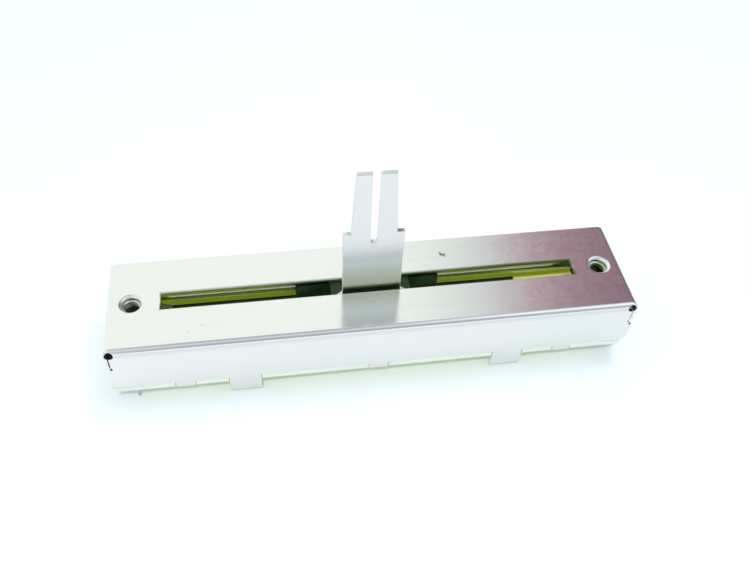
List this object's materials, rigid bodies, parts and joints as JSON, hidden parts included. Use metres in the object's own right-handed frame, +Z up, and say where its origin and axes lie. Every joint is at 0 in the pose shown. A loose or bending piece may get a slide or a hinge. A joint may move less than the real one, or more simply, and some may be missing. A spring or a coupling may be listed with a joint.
{
  "type": "slide fader",
  "caption": "Long slide fader with a folded steel cover, a slotted top and a forked upright lever that runs along two hidden rods.",
  "frame": {"origin": "under the middle of the body, on the plane that the terminal pins stand on", "axes": "+X along the travel, +Y to the side behind the lever, which stands in front of the centre line, +Z up along the lever"},
  "size_m": [0.088, 0.0194, 0.0395],
  "materials": {
    "plated_steel": "bright plated sheet with a faint lengthwise grain",
    "blade_steel": "satin plated sheet",
    "rod_steel": "ground and polished",
    "epoxy_board": "yellow-green glass-filled epoxy",
    "carbon_ink": "matt printed carbon",
    "silver_ink": "matt printed silver",
    "tinned_pin": "tin plated",
    "solder": "bright solder",
    "dark_moulding": "near-black moulded plastic",
    "damper_rubber": "plain black rubber",
    "spring_bronze": "rolled spring bronze"
  },
  "bodies": {
    "case": {"cover": "plated_steel", "element_board": "epoxy_board", "front_resistive_track": "carbon_ink", "rear_resistive_track": "carbon_ink", "front_collector_track": "silver_ink", "rear_collector_track": "silver_ink", "track_pads": "silver_ink", "front_guide_rod": "rod_steel", "rear_guide_rod": "rod_steel", "left_front_damper": "damper_rubber", "left_rear_damper": "damper_rubber", "right_front_damper": "damper_rubber", "right_rear_damper": "damper_rubber", "left_front_terminal": "tinned_pin", "left_rear_terminal": "tinned_pin", "right_front_outer_terminal": "tinned_pin", "right_front_inner_terminal": "tinned_pin", "right_rear_inner_terminal": "tinned_pin", "right_rear_outer_terminal": "tinned_pin", "solder_joints": "solder"},
    "slider": {"carriage": "dark_moulding", "lever": "blade_steel", "front_wiper": "spring_bronze", "rear_wiper": "spring_bronze"}
  },
  "joints": [
    {"name": "fader_slide", "type": "slide", "parent": "case", "child": "slider", "axis": [1, 0, 0], "range_m": [-0.02955, 0.03045]}
  ]
}
